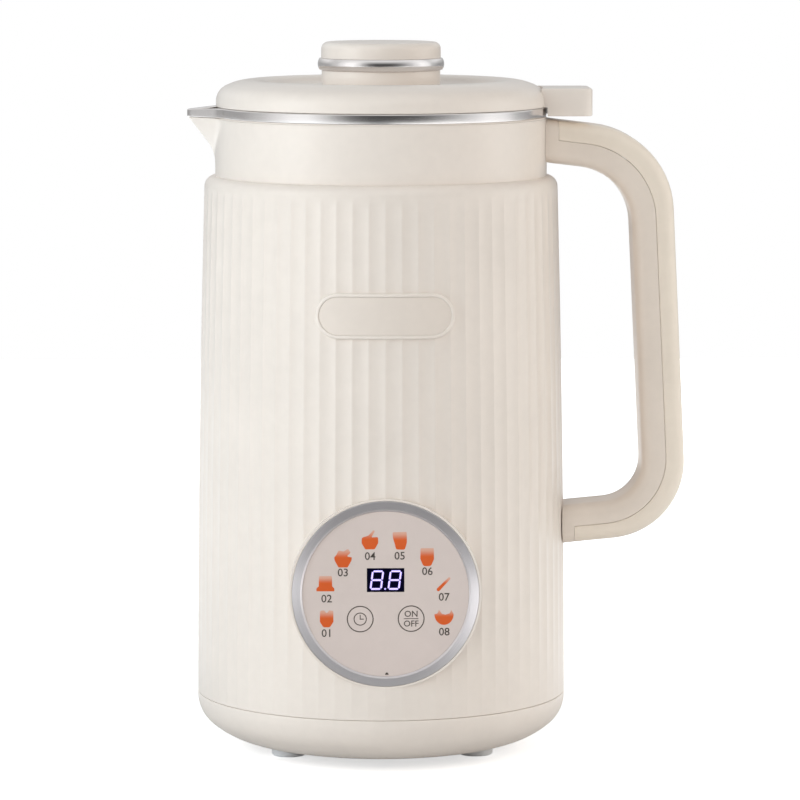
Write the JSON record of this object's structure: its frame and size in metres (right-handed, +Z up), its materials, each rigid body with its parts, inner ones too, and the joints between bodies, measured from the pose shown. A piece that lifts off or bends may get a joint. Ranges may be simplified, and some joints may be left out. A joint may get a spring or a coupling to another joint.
{
  "type": "soy milk maker",
  "caption": "Jug-shaped heated blending jug with a fluted double-walled body, steel vessel with spout, side handle, lift-off lid with vent knob and a round touch panel.",
  "frame": {"origin": "on the surface it stands on, at the centre of the casing, vessel and motor shaft", "axes": "+Z up along the vessel's axis, -Y towards the control panel at the front, +X towards the handle"},
  "size_m": [0.2031, 0.1514, 0.2896],
  "materials": {
    "casing_cream": "satin",
    "trim_cream": "semi-gloss",
    "handle_tan": "semi-gloss",
    "panel_beige": "satin",
    "badge_plate": "satin",
    "brushed_ring": "brushed",
    "steel": "satin",
    "bright_steel": "polished",
    "screw_steel": "zinc plated",
    "bracket_steel": "pressed sheet",
    "laminations": "varnished",
    "copper": "enamelled",
    "bronze": "sintered",
    "aluminium": "cast",
    "silicone": "matt",
    "foot_rubber": "matt",
    "dark_rubber": "matt",
    "dark_plastic": "moulded",
    "display_dark": "gloss",
    "circuit_board": "lacquered",
    "lamp_orange": "clear",
    "liner_plastic": "satin"
  },
  "bodies": {
    "housing": {"air_duct": "dark_plastic", "badge_frame": "trim_cream", "badge_plate": "badge_plate", "base_bowl": "casing_cream", "base_screws": "screw_steel", "brush_holders": "dark_plastic", "control_board": "circuit_board", "display_module": "dark_plastic", "display_window": "display_dark", "electrode_gasket": "silicone", "handle_cover": "handle_tan", "handle_frame": "casing_cream", "handle_screws": "screw_steel", "heating_plate": "aluminium", "heating_tube": "aluminium", "indicator_lamps": "lamp_orange", "inlet_pins": "copper", "inlet_screws": "screw_steel", "inlet_socket": "dark_plastic", "inner_vessel": "steel", "lid_switch": "dark_plastic", "lower_bearing": "screw_steel", "lower_bracket": "bracket_steel", "motor_grommets": "dark_rubber", "motor_nuts": "screw_steel", "motor_screws": "screw_steel", "neck_collar": "trim_cream", "outer_shell": "casing_cream", "overflow_electrode": "steel", "panel_bezel": "brushed_ring", "panel_face": "panel_beige", "power_board": "circuit_board", "rim_gasket": "silicone", "rubber_feet": "foot_rubber", "seat_bush": "bronze", "seat_nut": "bright_steel", "seat_sleeve": "steel", "shaft_seal": "dark_rubber", "stator_coils": "copper", "stator_core": "laminations", "temperature_sensors": "dark_plastic", "touch_contacts": "copper", "upper_bearing": "screw_steel", "upper_bracket": "bracket_steel"},
    "lid": {"lid_shell": "trim_cream", "lid_liner": "liner_plastic", "lid_seal": "silicone", "lid_magnet": "bracket_steel", "lid_screws": "screw_steel"},
    "vent_knob": {"knob_base": "trim_cream", "knob_band": "bright_steel", "knob_cap": "trim_cream"},
    "valve": {"valve_weight": "bright_steel"},
    "rotor": {"motor_shaft": "bright_steel", "rotor_core": "laminations", "rotor_winding": "copper", "commutator": "copper", "cooling_fan": "dark_plastic", "blade_set": "steel", "blade_nut": "bright_steel"}
  },
  "joints": [
    {"name": "lid_lift", "type": "slide", "parent": "housing", "child": "lid", "axis": [0, 0, 1], "range_m": [0, 0.08]},
    {"name": "knob_turn", "type": "hinge", "parent": "lid", "child": "vent_knob", "pos_m": [0, 0, 0.28], "axis": [0, 0, 1], "range_deg": [0, 60]},
    {"name": "valve_lift", "type": "slide", "parent": "lid", "child": "valve", "axis": [0, 0, 1], "range_m": [0, 0.003]},
    {"name": "rotor_spin", "type": "hinge", "parent": "housing", "child": "rotor", "pos_m": [0, 0, 0.08], "axis": [0, 0, 1], "continuous": true}
  ]
}
